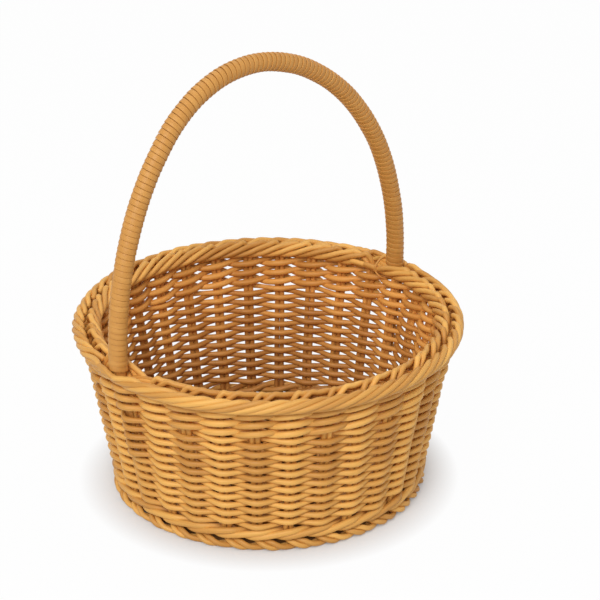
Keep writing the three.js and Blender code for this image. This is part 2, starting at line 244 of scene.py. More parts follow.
# draws a round cane along each line of a guide mesh, and repeats it round the basket's axis
def makeCaneTree(handTree, legTree):
    tree, given, result = newTree("roundCane", "GeometryNodeTree", [
        ("Guide", "INPUT", "NodeSocketGeometry", None),
        ("Diameter", "INPUT", "NodeSocketFloat", 0.004),
        ("Corners", "INPUT", "NodeSocketInt", 12),
        ("Steps Between Points", "INPUT", "NodeSocketInt", 4),
        ("Copies", "INPUT", "NodeSocketInt", 1),
        ("First Angle", "INPUT", "NodeSocketFloat", 0.0),
        ("Angle Step", "INPUT", "NodeSocketFloat", 0.0),
        ("Skip Every", "INPUT", "NodeSocketInt", 1000),  # more than there are copies
        ("Skip At", "INPUT", "NodeSocketInt", -1),
        ("Skip Also At", "INPUT", "NodeSocketInt", -1),
        ("Clearance", "INPUT", "NodeSocketFloat", 0.0),
        ("Wobble", "INPUT", "NodeSocketFloat", 0.0004),
        ("Own Wobble", "INPUT", "NodeSocketFloat", 0.0002),
        ("Wobble Size", "INPUT", "NodeSocketFloat", 0.045),
        ("Seed", "INPUT", "NodeSocketInt", 1),
        ("Material", "INPUT", "NodeSocketMaterial", None),
        ("Geometry", "OUTPUT", "NodeSocketGeometry", None),
    ])
    index = addNode(tree, "GeometryNodeInputIndex").outputs[0]
    angle = calculate(tree, "MULTIPLY_ADD", index, given["Angle Step"], given["First Angle"])
    lane = calculate(tree, "MODULO", index, given["Skip Every"])
    keep = []
    for name in ("Skip At", "Skip Also At"):
        inputs = {"A": lane, "B": given[name]}
        keep.append(addNode(tree, "FunctionNodeCompare", inputs, operation="NOT_EQUAL").outputs[0])
    kept = addNode(tree, "FunctionNodeBooleanMath", dict(enumerate(keep)), operation="AND").outputs[0]
    copies = addNode(tree, "GeometryNodeInstanceOnPoints", {
        "Points": pointsInPlace(tree, given["Copies"]), "Instance": given["Guide"],
        "Rotation": combine(tree, z=angle), "Selection": kept,
    }).outputs[0]
    inputs = {"ID": index, "Seed": given["Seed"]}
    number = addNode(tree, "FunctionNodeRandomValue", inputs, data_type="FLOAT").outputs[1]
    tinted = storeNamed(tree, copies, "copyTint", number, "FLOAT", "INSTANCE")
    lines = addNode(tree, "GeometryNodeRealizeInstances", {"Geometry": tinted}).outputs[0]
    fine = smoothCurves(tree, lines, given["Steps Between Points"])
    drawn = addNode(tree, "GeometryNodeResampleCurve", {"Curve": fine}, mode="EVALUATED").outputs[0]
    uneven = addNode(tree, "GeometryNodeGroup", {
        "Geometry": drawn, "Amount": given["Wobble"], "Own Amount": given["Own Wobble"],
        "Size": given["Wobble Size"],
    }, node_tree=handTree).outputs[0]
    aside = addNode(tree, "GeometryNodeGroup", {
        "Geometry": uneven, "Leg Reach": basket["legReach"], "Leg Offset": basket["legOffset"],
        "Clearance": given["Clearance"],
    }, node_tree=legTree).outputs[0]
    length = addNode(tree, "GeometryNodeSplineParameter").outputs["Length"]
    measured = storeNamed(tree, aside, "along", length, "FLOAT")
    ring = addNode(tree, "GeometryNodeCurvePrimitiveCircle", {
        "Resolution": given["Corners"], "Radius": calculate(tree, "MULTIPLY", given["Diameter"], 0.5),
    }).outputs[0]
    section = storeNamed(tree, ring, "section", position(tree), "FLOAT_VECTOR")
    swept = addNode(tree, "GeometryNodeCurveToMesh", {
        "Curve": measured, "Profile Curve": section, "Scale": named(tree, "swell", "FLOAT"),
        "Fill Caps": True,
    }).outputs[0]
    finishCane(tree, swept, given["Material"], result["Geometry"])
    return tree


# winds a flat ribbon round a guide line that runs in a plane of constant Y
def makeRibbonTree(handTree):
    tree, given, result = newTree("flatRibbon", "GeometryNodeTree", [
        ("Guide", "INPUT", "NodeSocketGeometry", None),
        ("Steps Between Points", "INPUT", "NodeSocketInt", 8),
        ("Pitch", "INPUT", "NodeSocketFloat", 0.0042),
        ("Width", "INPUT", "NodeSocketFloat", 0.0041),
        ("Thickness", "INPUT", "NodeSocketFloat", 0.001),
        ("Winding Radius", "INPUT", "NodeSocketFloat", 0.0067),
        ("Steps In A Turn", "INPUT", "NodeSocketInt", 24),
        ("Edge Radius", "INPUT", "NodeSocketFloat", 0.0003),
        ("Edge Steps", "INPUT", "NodeSocketInt", 3),
        ("Overlap Slope", "INPUT", "NodeSocketFloat", 0.1),
        ("Wobble", "INPUT", "NodeSocketFloat", 0.0004),
        ("Wobble Size", "INPUT", "NodeSocketFloat", 0.045),
        ("Material", "INPUT", "NodeSocketMaterial", None),
        ("Geometry", "OUTPUT", "NodeSocketGeometry", None),
    ])
    path = smoothCurves(tree, given["Guide"], given["Steps Between Points"])
    length = addNode(tree, "GeometryNodeCurveLength", {"Curve": path}).outputs[0]
    turns = calculate(tree, "DIVIDE", length, given["Pitch"])
    count = calculate(tree, "FLOOR", calculate(tree, "MULTIPLY", turns, given["Steps In A Turn"]))
    index = addNode(tree, "GeometryNodeInputIndex").outputs[0]
    share = calculate(tree, "DIVIDE", index, given["Steps In A Turn"])
    angle = calculate(tree, "MULTIPLY", share, 2 * math.pi)
    inputs = {"Curves": path, "Length": calculate(tree, "MULTIPLY", share, given["Pitch"])}
    at = addNode(tree, "GeometryNodeSampleCurve", inputs, mode="LENGTH", use_all_curves=True).outputs
    sideways = combine(tree, y=calculate(tree, "COSINE", angle))
    outward = calculateVector(tree, "CROSS_PRODUCT", at["Tangent"], (0, 1, 0))
    leftHanded = calculate(tree, "SINE", calculate(tree, "MULTIPLY", angle, -1.0))
    facing = calculateVector(tree, "ADD", sideways, scaleVector(tree, outward, leftHanded))
    reach = scaleVector(tree, facing, given["Winding Radius"])
    points = pointsInPlace(tree, count)
    wound = addNode(tree, "GeometryNodeSetPosition", {
        "Geometry": storeNamed(tree, points, "facing", facing, "FLOAT_VECTOR"),
        "Position": calculateVector(tree, "ADD", at["Position"], reach),
    }).outputs[0]
    uneven = addNode(tree, "GeometryNodeGroup", {
        "Geometry": wound, "Amount": given["Wobble"], "Own Amount": 0.0, "Size": given["Wobble Size"],
    }, node_tree=handTree).outputs[0]
    strip = addNode(tree, "GeometryNodeMeshToCurve", {"Mesh": uneven}).outputs[0]
    inputs = {"Curve": strip, "Normal": named(tree, "facing", "FLOAT_VECTOR")}
    turned = addNode(tree, "GeometryNodeSetCurveNormal", inputs, mode="FREE").outputs[0]
    lengthAlong = addNode(tree, "GeometryNodeSplineParameter").outputs["Length"]
    measured = storeNamed(tree, turned, "along", lengthAlong, "FLOAT")
    inputs = {"Width": given["Thickness"], "Height": given["Width"]}
    flat = addNode(tree, "GeometryNodeCurvePrimitiveQuadrilateral", inputs).outputs[0]
    inputs = {"Curve": flat, "Radius": given["Edge Radius"], "Count": given["Edge Steps"]}
    rounded = addNode(tree, "GeometryNodeFilletCurve", inputs, mode="POLY").outputs[0]
    across = separate(tree, position(tree))[1]
    lean = combine(tree, calculate(tree, "MULTIPLY", across, given["Overlap Slope"]))
    shaped = addNode(tree, "GeometryNodeSetPosition", {"Geometry": rounded, "Offset": lean}).outputs[0]
    section = storeNamed(tree, shaped, "section", position(tree), "FLOAT_VECTOR")
    inputs = {"Curve": measured, "Profile Curve": section, "Fill Caps": True}
    swept = addNode(tree, "GeometryNodeCurveToMesh", inputs).outputs[0]
    finishCane(tree, swept, given["Material"], result["Geometry"])
    return tree


handTree = makeHandTree()
caneTree = makeCaneTree(handTree, makeLegTree())
ribbonTree = makeRibbonTree(handTree)


def newObject(name, data):
    made = bpy.data.objects.new(name, data)
    bpy.context.scene.collection.objects.link(made)
    return made


def addNumbers(mesh, name, values):
    mesh.attributes.new(name, "FLOAT", "POINT").data.foreach_set("value", values)


# a guide is a mesh of lines, one for each cane; swell is the cane's thickness at each point
def makeGuide(name, strands):
    points, edges, tints, swells = [], [], [], []
    for strand in strands:
        first = len(points)
        points += [tuple(p) for p in strand["points"]]
        edges += [(i, i + 1) for i in range(first, len(points) - 1)]
        tints += [strand.get("tint", 0.0)] * len(strand["points"])
        swells += strand.get("swell") or [1.0] * len(strand["points"])
    mesh = bpy.data.meshes.new(name)
    mesh.from_pydata(points, edges, [])
    addNumbers(mesh, "tint", tints)
    addNumbers(mesh, "swell", swells)
    return newObject(name, mesh)


# runs a tree on a guide and keeps the result as a plain mesh
def drawPiece(guide, tree, sizes):
    modifier = guide.modifiers.new("draw", "NODES")
    modifier.node_group = tree
    sockets = {item.name: item.identifier for item in tree.interface.items_tree if item.in_out == "INPUT"}
    for name, value in sizes.items():
        modifier[sockets[name]] = value
    graph = bpy.context.evaluated_depsgraph_get()
    drawn = guide.evaluated_get(graph)
    mesh = bpy.data.meshes.new_from_object(drawn, preserve_all_data_layers=True, depsgraph=graph)
    guide.modifiers.clear()
    mesh.name = guide.name
    guide.data = mesh
    return guide


def keepPiece(piece, nodes):
    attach(piece, "root")
    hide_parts(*nodes)
    print(piece.name, len(piece.data.polygons), "faces")


def makeCanes(name, strands, sizes, material, nodes):
    shared = {
        "Diameter": basket["weaver"], "Angle Step": spacing, "Wobble": basket["wobble"],
        "Own Wobble": basket["ownWobble"], "Wobble Size": basket["wobbleSize"], "Material": material,
    }
    keepPiece(drawPiece(makeGuide(name, strands), caneTree, {**shared, **sizes}), nodes)


# repeatable numbers from 0 to 1, made by cutting a long sine to its last digits
def chance(*keys):
    stride, start, stretch = 12.9898, 78.233, 43758.5453
    mixed = math.sin(sum((i + 1) * stride * k for i, k in enumerate(keys)) + start) * stretch
    return mixed - math.floor(mixed)


# materials

grainLook = {
    "tintShift": 37.0,  # gives each cane another stretch of the noise
    "patches": (60, 60, 22),  # noise cells in a metre, across the cane twice and along it
    "details": (3.0, 1.0),  # of streaks and patches
    "streakShare": 0.5,  # the rest of the shade is patches
    "tintShare": 0.5,
    "shadeRange": (0.22, 0.78),
    "roughness": (0.4, 0.62),
    "bumpDistance": 0.0002,
}
# painted shade: canes on the wall's inner side take these darker, more orange colours, and the deeper
# ones towards the bottom, standing in for the shade and warm bounced light inside the basket
paintedInsideShade = {"dark": (0.57, 0.228, 0.041), "light": (0.88, 0.41, 0.09)}
paintedDeepShade = {"dark": (0.37, 0.14, 0.027), "light": (0.6, 0.27, 0.062)}
caneLook = {
    "dark": (0.55, 0.25, 0.05), "light": (0.86, 0.47, 0.115),
    "across": 1500.0, "along": 40.0, "relief": 0.35, "shine": 0.35,
}
innerLook = {
    "dark": (0.42, 0.17, 0.032), "light": (0.62, 0.28, 0.065),
    "across": 1500.0, "along": 40.0, "relief": 0.35, "shine": 0.3,
}
ribbonLook = {
    "dark": (0.57, 0.265, 0.058), "light": (0.83, 0.455, 0.125),
    "across": 900.0, "along": 60.0, "relief": 0.25, "shine": 0.35,
}


def makeGrainGroup():
    tree, given, result = newTree("caneGrain", "ShaderNodeTree", [
        ("Place On Cane", "INPUT", "NodeSocketVector", None),
        ("Tint", "INPUT", "NodeSocketFloat", 0.5),
        ("Dark Colour", "INPUT", "NodeSocketColor", (0.4, 0.2, 0.05, 1)),
        ("Light Colour", "INPUT", "NodeSocketColor", (0.7, 0.4, 0.12, 1)),
        ("Streaks Across", "INPUT", "NodeSocketFloat", 1400.0),
        ("Streaks Along", "INPUT", "NodeSocketFloat", 40.0),
        ("Colour", "OUTPUT", "NodeSocketColor", None),
        ("Height", "OUTPUT", "NodeSocketFloat", None),
        ("Roughness", "OUTPUT", "NodeSocketFloat", None),
    ])
    shift = combine(tree, calculate(tree, "MULTIPLY", given["Tint"], grainLook["tintShift"]))
    streaksAcross = given["Streaks Across"]
    fine = combine(tree, streaksAcross, streaksAcross, given["Streaks Along"])
    noises = []
    for stretch, detail in zip((fine, grainLook["patches"]), grainLook["details"]):
        stretched = calculateVector(tree, "MULTIPLY", given["Place On Cane"], stretch)
        at = calculateVector(tree, "ADD", stretched, shift)
        inputs = {"Vector": at, "Scale": 1.0, "Detail": detail}
        noises.append(addNode(tree, "ShaderNodeTexNoise", inputs).outputs["Fac"])
    streaks, patches = noises
    patches = calculate(tree, "MULTIPLY", patches, 1 - grainLook["streakShare"])
    mix = calculate(tree, "MULTIPLY_ADD", streaks, grainLook["streakShare"], patches)
    tint = calculate(tree, "SUBTRACT", given["Tint"], 0.5)
    mix = calculate(tree, "MULTIPLY_ADD", tint, grainLook["tintShare"], mix)
    shade = mapRange(tree, mix, *grainLook["shadeRange"])
    colour = mixColour(tree, shade, given["Dark Colour"], given["Light Colour"])
    tree.links.new(colour, result["Colour"])
    tree.links.new(streaks, result["Height"])
    tree.links.new(mapRange(tree, streaks, 0.0, 1.0, *grainLook["roughness"]), result["Roughness"])
    return tree


# painted shade inside the basket: Mask is 1 on the wall's outer side and above it and 0 on its inner
# side, where the canes get painted shade, and Depth grows down the inside, where the painted shade
# darkens
def makeWallGroup():
    tree, given, result = newTree("insideShadeMasks", "ShaderNodeTree", [
        ("Place", "INPUT", "NodeSocketVector", None),
        ("Ground Radius", "INPUT", "NodeSocketFloat", 0.1145),
        ("Lean", "INPUT", "NodeSocketFloat", 0.18),
        ("Inner Edge", "INPUT", "NodeSocketFloat", -0.0015),
        ("Outer Edge", "INPUT", "NodeSocketFloat", 0.0015),
        ("Shade From", "INPUT", "NodeSocketFloat", 0.141),
        ("Shade Full", "INPUT", "NodeSocketFloat", 0.12),
        ("Deep From", "INPUT", "NodeSocketFloat", 0.105),
        ("Deep Full", "INPUT", "NodeSocketFloat", 0.04),
        ("Mask", "OUTPUT", "NodeSocketFloat", None),
        ("Depth", "OUTPUT", "NodeSocketFloat", None),
    ])
    x, y, height = separate(tree, given["Place"])
    wall = calculate(tree, "MULTIPLY_ADD", height, given["Lean"], given["Ground Radius"])
    past = calculate(tree, "SUBTRACT", vectorLength(tree, combine(tree, x, y)), wall)
    out = mapRange(tree, past, given["Inner Edge"], given["Outer Edge"])
    high = mapRange(tree, height, given["Shade Full"], given["Shade From"])
    tree.links.new(calculate(tree, "MAXIMUM", out, high), result["Mask"])
    tree.links.new(mapRange(tree, height, given["Deep From"], given["Deep Full"]), result["Depth"])
    return tree


grainGroup = makeGrainGroup()
insideShadeGroup = makeWallGroup()


def makeCaneMaterial(name, look):
    material = bpy.data.materials.new(name)
    material.use_nodes = True
    tree = material.node_tree
    shader = tree.nodes["Principled BSDF"]
    group = addNode(tree, "ShaderNodeGroup", {
        "Place On Cane": addNode(tree, "ShaderNodeAttribute", attribute_name="grain").outputs["Vector"],
        "Tint": addNode(tree, "ShaderNodeAttribute", attribute_name="tint").outputs["Fac"],
        "Streaks Across": look["across"], "Streaks Along": look["along"],
    }, node_tree=grainGroup)
    insideShadeMasks = addNode(tree, "ShaderNodeGroup", {
        "Place": addNode(tree, "ShaderNodeTexCoord").outputs["Object"],
        "Ground Radius": basket["groundRadius"], "Lean": wallLean,
    }, node_tree=insideShadeGroup).outputs
    # on the wall's inner side the canes' own colours give way to painted shade, darker towards the bottom
    for label, key in (("Dark Colour", "dark"), ("Light Colour", "light")):
        inside = mixColour(tree, insideShadeMasks["Depth"], (*paintedInsideShade[key], 1), (*paintedDeepShade[key], 1))
        colour = mixColour(tree, insideShadeMasks["Mask"], inside, (*look[key], 1))
        tree.links.new(colour, group.inputs[label])
    bump = addNode(tree, "ShaderNodeBump", {
        "Height": group.outputs["Height"], "Strength": look["relief"],
        "Distance": grainLook["bumpDistance"],
    }).outputs[0]
    tree.links.new(group.outputs["Colour"], shader.inputs["Base Color"])
    tree.links.new(group.outputs["Roughness"], shader.inputs["Roughness"])
    tree.links.new(bump, shader.inputs["Normal"])
    shader.inputs["Specular IOR Level"].default_value = look["shine"]
    return material


caneMaterial = makeCaneMaterial("cane", caneLook)
innerMaterial = makeCaneMaterial("inner cane", innerLook)
ribbonMaterial = makeCaneMaterial("ribbon", ribbonLook)
print("materials made")


# stakes: two canes each, from the foot up the wall and round the border

stake = {
    "footHeight": 0.0094,
    "footOuterRadius": 0.1228,
    "footPadRadius": 0.1134,
    "padTurns": (1.3, 1.0),  # the pad's two ends, in stakes past the pair's own place
    "footRoute": ((0.7, -42), (0.45, 5), (0.2, 50)),  # stakes past it, degrees round the foot
    "aboveFoot": 0.001,
    "wallPoints": 5,
    "wallTop": 0.1215,
}

# border: a rope of all the canes, seen in section as an ellipse round which each cane climbs
border = {
    "cane": 0.0043,
    "height": 0.1328,
    "reach": 0.009,
    "rise": 0.0052,
    "knuckle": (  # stakes on, radius, height, half the pair's spread in stakes
        (0.0, 0.1374, 0.1272, 0.082), (0.08, 0.1375, 0.1315, 0.105),
        (0.2, 0.137, 0.1355, 0.145), (0.34, 0.1357, 0.1386, 0.185),
    ),
    "start": (0.5, 119, 0.22),  # stakes on, degrees round the rope, half the spread
    "step": 17,  # these three in degrees
    "last": 408,
    "lastBeforeLeg": 374,
    "ropeApart": 0.245,
    "arcPerStake": ((265, 0.0106), (300, 0.009), (420, 0.0075)),  # up to each angle
    "tuck": ((0.2, 0.1427, 0.1352), (0.38, 0.1424, 0.1332)),  # stakes past the rope's end, radius, height
    "underLeg": ((0.12, 0.1352, 0.1272, 0.1), (0.5, 0.1316, 0.1308, 0.18)),
    "underLegFrom": 173,  # degrees round the rope
    "passed": 4,  # the pair whose first cane would end at a leg starts so many stakes before it
    "clearance": 0.0093,  # from a leg's middle
    "endLength": 0.0012,
    "endSwell": 0.45,
}


def rollPoint(turn, degrees, roll):
    angle = math.radians(degrees)
    radius = roll["radius"] + roll["reach"] * math.cos(angle)
    height = roll["height"] + roll["rise"] * math.sin(angle)
    face = Vector((math.cos(angle) / roll["reach"], math.sin(angle) / roll["rise"])).normalized()
    return {"turn": turn, "radius": radius, "height": height, "face": face}


# the pair's middle line from the pad on the ground to the top of the wall
def wallStations():
    cane = basket["cane"]
    foot = {  # the outermost cane's side lies on the foot's outer radius
        "radius": stake["footOuterRadius"] - 1.5 * cane, "height": stake["footHeight"] / 2,
        "reach": cane, "rise": (stake["footHeight"] - cane) / 2,
    }
    down = Vector((0, -1))
    inner, outer = stake["padTurns"]
    stations = [
        {"turn": inner, "radius": stake["footPadRadius"], "height": cane / 2, "face": down},
        {"turn": outer, "radius": foot["radius"], "height": cane / 2, "face": down},
    ]
    stations += [rollPoint(turn, degrees, foot) for turn, degrees in stake["footRoute"]]
    low = stake["footHeight"] + stake["aboveFoot"]
    out = Vector((1, -wallLean)).normalized()
    for i in range(stake["wallPoints"]):
        height = low + (stake["wallTop"] - low) * i / (stake["wallPoints"] - 1)
        stations.append({"turn": 0, "radius": stakeRadius(height), "height": height, "face": out})
    return stations


# the two canes of a pair fan out along the border: way is -1 for the first and 1 for the second
def borderPoints(way, last, underLeg):
    rim = {
        "radius": rimRadius, "height": border["height"], "reach": border["reach"], "rise": border["rise"],
    }

    def at(turn, radius, height, apart):
        return polar(radius, (turn + way * apart) * spacing, height)

    points = [at(*place) for place in border["underLeg" if underLeg else "knuckle"]]
    turn, degrees, apart = border["start"]
    before = None
    while degrees <= last:
        here = rollPoint(turn, degrees, rim)
        if before:
            arc = math.hypot(here["radius"] - before["radius"], here["height"] - before["height"])
            turn += arc / next(rate for end, rate in border["arcPerStake"] if degrees < end)
            apart = border["ropeApart"]
        if not underLeg or degrees >= border["underLegFrom"]:
            points.append(at(turn, here["radius"], here["height"], apart))
        before = here
        degrees += border["step"]
    for past, radius, height in border["tuck"]:
        points.append(at(turn + past, radius, height, border["ropeApart"]))
    return points


def besideLine(stations, shift):
    middles = [polar(at["radius"], at["turn"] * spacing, at["height"]) for at in stations]
    points = []
    for i, at in enumerate(stations):
        along = (middles[min(i + 1, len(middles) - 1)] - middles[max(i - 1, 0)]).normalized()
        angle = at["turn"] * spacing
        face = polar(at["face"].x, angle, at["face"].y)
        across = along.cross(face - along * face.dot(along)).normalized()
        points.append(middles[i] + across * shift)
    return points


# adds a point just before each end, so that the cane narrows only at its cut
def cutEnds(points):
    ends = []
    for tip, following in ((points[0], points[1]), (points[-1], points[-2])):
        ends.append(tip + (following - tip).normalized() * border["endLength"])
    swell = [border["endSwell"], 1.0] + [1.0] * (len(points) - 2) + [1.0, border["endSwell"]]
    return {"points": [points[0], ends[0], *points[1:-1], ends[1], points[-1]], "swell": swell}


def stakeStrands(underLeg, lasts):
    stations = wallStations()
    strands = []
    for way, last in zip((-1, 1), lasts):
        wall = besideLine(stations, way * basket["cane"] / 2)
        strand = cutEnds(wall + borderPoints(way, last, underLeg))
        grown = border["cane"] / basket["cane"]
        strand["swell"] = [s * (grown if i > len(wall) else 1.0) for i, s in enumerate(strand["swell"])]
        strands.append({**strand, "tint": chance(way, 3)})
    return strands


def makeStakes():
    count = basket["stakes"]
    half = count // 2
    shortLane = half - border["passed"]
    names = [f"stake_pair_{i + 1:02d}" for i in range(count)]
    full, short = border["last"], border["lastBeforeLeg"]
    plain = [lane for lane in range(half) if lane not in (0, shortLane)]
    for name, strands, sizes, lanes in (
        ("stake_canes", stakeStrands(False, (full, full)),
         {"Copies": count, "Skip Every": half, "Skip At": 0, "Skip Also At": shortLane}, plain),
        ("stake_canes_before_leg", stakeStrands(False, (short, full)),
         {"Copies": 2, "First Angle": shortLane * spacing, "Angle Step": math.pi}, [shortLane]),
        ("stake_canes_under_leg", stakeStrands(True, (full, full)),
         {"Copies": 2, "Angle Step": math.pi}, [0]),
    ):
        sizes = {**sizes, "Diameter": basket["cane"], "Clearance": border["clearance"]}
        nodes = [node for i, node in enumerate(names) if i % half in lanes]
        makeCanes(name, strands, sizes, caneMaterial, nodes)


makeStakes()
print("stakes made")


# side weavers: two chase each other, over one stake and under the next

side = {
    "firstHeight": 0.0214,
    "pitch": 0.00373,
    "turns": (6, 5),  # of each length
    "tongueBulge": 0.004,  # further out where a tongue of the handle lies
    "tongueBottom": 0.059,
    "passSwell": 1.2,  # times as thick beside a stake, where soft cane is pressed flat
    "crossSwell": 1.0,  # and so many times between two
}


# rows climbed by a step: level, then up over the last stakes of each turn
def stepUp(step):
    turn = step // basket["stakes"]
    past = step - turn * basket["stakes"] - (basket["stakes"] - basket["stepUp"])
    return turn + max(0.0, past / basket["stepUp"])


def passRadius(stakeNumber, height, way):
    onLeg = stakeNumber % (basket["stakes"] // 2) == 0
    besideTongue = way > 0 and onLeg and height > side["tongueBottom"]
    bulge = side["tongueBulge"] if besideTongue else 0.0
    return stakeRadius(height) + way * ((basket["cane"] + basket["weaver"]) / 2 + bulge)


def sideWeaver(length, parity):
    points, swell = [], []
    startTurn = sum(side["turns"][:length])
    last = length == len(side["turns"]) - 1
    steps = side["turns"][length] * basket["stakes"] - (basket["stepUp"] if last else 0)
    for step in range(steps + 1):
        stakeNumber = basket["seam"] + step
        for half in (0, 0.5) if step < steps or last else (0,):
            rise = (stepUp(step) + stepUp(step + 1)) / 2 if half else stepUp(step)
            height = side["firstHeight"] + (2 * (startTurn + rise) + parity) * side["pitch"]
            way = 1 if (stakeNumber + parity) % 2 == 0 else -1
            radius = stakeRadius(height) if half else passRadius(stakeNumber, height, way)
            points.append(polar(radius, (stakeNumber + half) * spacing, height))
            swell.append(side["crossSwell"] if half else side["passSwell"])
    return {"points": points, "swell": swell, "tint": chance(startTurn, parity)}


def makeSideWeavers():
    for length in range(len(side["turns"])):
        for parity, letter in enumerate("ab"):
            node = f"side_weaver_{letter}_{length + 1}"
            makeCanes(node + "_cane", [sideWeaver(length, parity)], {}, caneMaterial, [node])


makeSideWeavers()
print("side weavers made")


# wales: over the foot three rods each pass outside two stakes and inside the third,
# and under the border two strands cross between all stakes

wale = {
    "rods": 3,
    "rise": 0.0041,
    "rowPitch": 0.0078,
    "lowerHeight": 0.0138,
    "upperHeight": 0.1059,
    "upperFirst": -2,  # this and the next two count stakes from the seam
    "upperSplice": 46,
    "upperLast": 95,
    "upperLift": 0.0013,  # of the upper strand where two cross
    "upperPassHalf": 0.17,  # half the length beside a stake pair, in stakes
    "topRow": 2.3,  # the last row stays this many rows above the first
    "outerRise": 0.0014,  # a strand lies this much higher outside than inside
    "passSwell": 1.3,
    "crossSwell": 1.2,
}


def walePoint(step, way, row, lift):
    height = row + lift
    stakeNumber = basket["seam"] + step
    radius = passRadius(round(stakeNumber), height, way) if way else stakeRadius(height)
    return polar(radius, stakeNumber * spacing, height)


def lowerWaleRod(rod):
    row, lift, points, swell = wale["lowerHeight"], wale["rise"] / 2, [], []
    last = basket["stakes"]
    for step in range(last + 1):
        phase = (step + rod) % wale["rods"]
        way, height, after = ((1, -lift, None), (1, lift, lift), (-1, 0, -lift))[phase]
        points.append(walePoint(step, way, row, height))
        swell.append(wale["passSwell"])
        if after is not None and step < last:
            points.append(walePoint(step + 0.5, 0, row, after))
            swell.append(wale["crossSwell"])
    return {"points": points, "swell": swell, "tint": chance(rod, 7)}


# a rod stays outside or inside a stake pair over the pair's whole width, and crosses midway to the next
def upperWaleRod(first, last, parity):
    lift, half, points, swell = wale["upperLift"], wale["upperPassHalf"], [], []

    def row(step):
        return wale["upperHeight"] + min(stepUp(step), wale["topRow"]) * wale["rowPitch"]

    for step in range(first, last + 1):
        way = 1 if (step + parity) % 2 == 0 else -1
        raised = wale["outerRise"] if way > 0 else 0
        if step == wale["upperFirst"]:
            points.append(walePoint(step - 0.5, 0, (row(step - 1) + row(step)) / 2, -way * lift))
            swell.append(wale["crossSwell"])
        for past in (-half, half):
            points.append(walePoint(step + past, way, row(step) + raised, way * lift * 2 * past))
            swell.append(wale["passSwell"])
        if step < last:
            points.append(walePoint(step + 0.5, 0, (row(step) + row(step + 1)) / 2, way * lift))
            swell.append(wale["crossSwell"])
    return {"points": points, "swell": swell, "tint": chance(first, parity, 4)}


def makeWales():
    first, splice, last = wale["upperFirst"], wale["upperSplice"], wale["upperLast"]
    rods = {f"lower_wale_rod_{rod + 1}": lowerWaleRod(rod) for rod in range(wale["rods"])}
    rods["upper_wale_rod_1"] = upperWaleRod(first, last, 0)
    rods["upper_wale_rod_2"] = upperWaleRod(first, splice, 1)
    rods["upper_wale_rod_3"] = upperWaleRod(splice, last, 1)
    for node, strand in rods.items():
        makeCanes(node + "_cane", [strand], {"Steps Between Points": 5}, caneMaterial, [node])


makeWales()
print("wales made")


# base: sticks cross in the middle and fan out, and two doubled canes chase each other

base = {
    "height": 0.0138,
    "stick": 0.0032,
    "cane": 0.0034,
    "gap": 0.0003,
    "sticks": 4,
    "stickPitch": 0.005,
    "crossHalf": 0.012,
    "fanRadius": 0.023,
    "radius": 0.1106,
    "firstRow": 0.027,
    "rowPitch": 0.008,
}
spokes = 4 * base["sticks"]
spokeAngle = 2 * math.pi / spokes


def baseStick(index, quarter, way):
    lane = index - (base["sticks"] - 1) / 2
    fan = lane * spokeAngle
    crossing = base["height"] + way * (base["stick"] + base["gap"]) / 2
    end = [
        Vector((base["crossHalf"], lane * base["stickPitch"], crossing)),
        polar(base["fanRadius"], fan, base["height"]),
        polar((base["fanRadius"] + base["radius"]) / 2, fan, base["height"]),
        polar(base["radius"], fan, base["height"]),
    ]
    points = [Vector((-p.x, p.y, p.z)) for p in reversed(end)] + end
    if quarter:
        points = [Vector((-p.y, p.x, p.z)) for p in points]
    return points


def baseWeaver(parity, shift):
    lift = base["stick"] / 2 + base["gap"] + base["cane"] / 2
    points = []
    step = 0
    while True:
        radius = base["firstRow"] + base["rowPitch"] * (2 * step / spokes + parity)
        if radius > base["radius"] - base["cane"]:
            return points
        way = 1 if (step + parity) % 2 == 0 else -1
        points.append(polar(radius + shift, (step + 0.5) * spokeAngle, base["height"] + way * lift))
        middle = radius + base["rowPitch"] / spokes + shift
        points.append(polar(middle, (step + 1) * spokeAngle, base["height"]))
        step += 1


def makeBase():
    for place, quarter, way in (("lower", False, -1), ("upper", True, 1)):
        nodes = [f"base_stick_{place}_{i + 1}" for i in range(base["sticks"])]
        strands = []
        for i in range(base["sticks"]):
            strands.append({"points": baseStick(i, quarter, way), "tint": chance(i, way)})
        sizes = {"Diameter": base["stick"], "Steps Between Points": 6}
        makeCanes(f"base_sticks_{place}_canes", strands, sizes, innerMaterial, nodes)
    for parity, letter in enumerate("ab"):
        strands = []
        for way in (-1, 1):
            points = baseWeaver(parity, way * base["cane"] / 2)
            strands.append({"points": points, "tint": chance(parity, way, 5)})
        sizes = {"Diameter": base["cane"], "Corners": 10}
        node = "base_weaver_" + letter
        makeCanes(node + "_canes", strands, sizes, innerMaterial, [node])


makeBase()
print("base made")


# handle: a round core whose legs thin to ridged tongues in the wall, and the ribbon round it

handle = {
    "archCentre": basket["rimTop"] + 0.006,
    "archTop": 0.34,
    "skew": 0.0135,  # the top leans this far to the left
    "skewPower": 3,
    "archSteps": 48,
    "coreRadius": 0.0058,
    "coreTint": 0.3,
    "corners": 32,
    "tongueWidth": 0.0084,
    "tongueThickness": 0.0024,
    "tongueHeights": (0.0631, 0.08, 0.1, 0.118, 0.126),
    "tongueGap": 0.00225,
    "ridges": 4,
    "ridgeDepth": 0.45,
    "legHeights": (0.134, 0.1423),
    "ribbonFoot": 0.1345,
    "ribbonPitch": 0.0043,
    "ribbonWidth": 0.0042,
    "ribbonThickness": 0.001,
    "ribbonEdge": 0.0003,
    "ribbonGap": 0.0003,  # between ribbon and core
    "stepsInATurn": 24,
    "overlapSlope": 0.13,
    "tail": {
        "diameter": 0.0018,
        "route": (  # stakes on, radius, height
            (0.52, 0.1375, 0.1405), (0.56, 0.133, 0.1392), (0.6, 0.129, 0.1345),
            (0.58, 0.1285, 0.13), (0.42, 0.1297, 0.1262), (0.33, 0.134, 0.1238),
        ),
    },
}


def tonguePoint(way, height):
    reach = stakeRadius(height) + handle["tongueGap"] + handle["tongueThickness"] / 2
    return Vector((way * reach, 0, height))


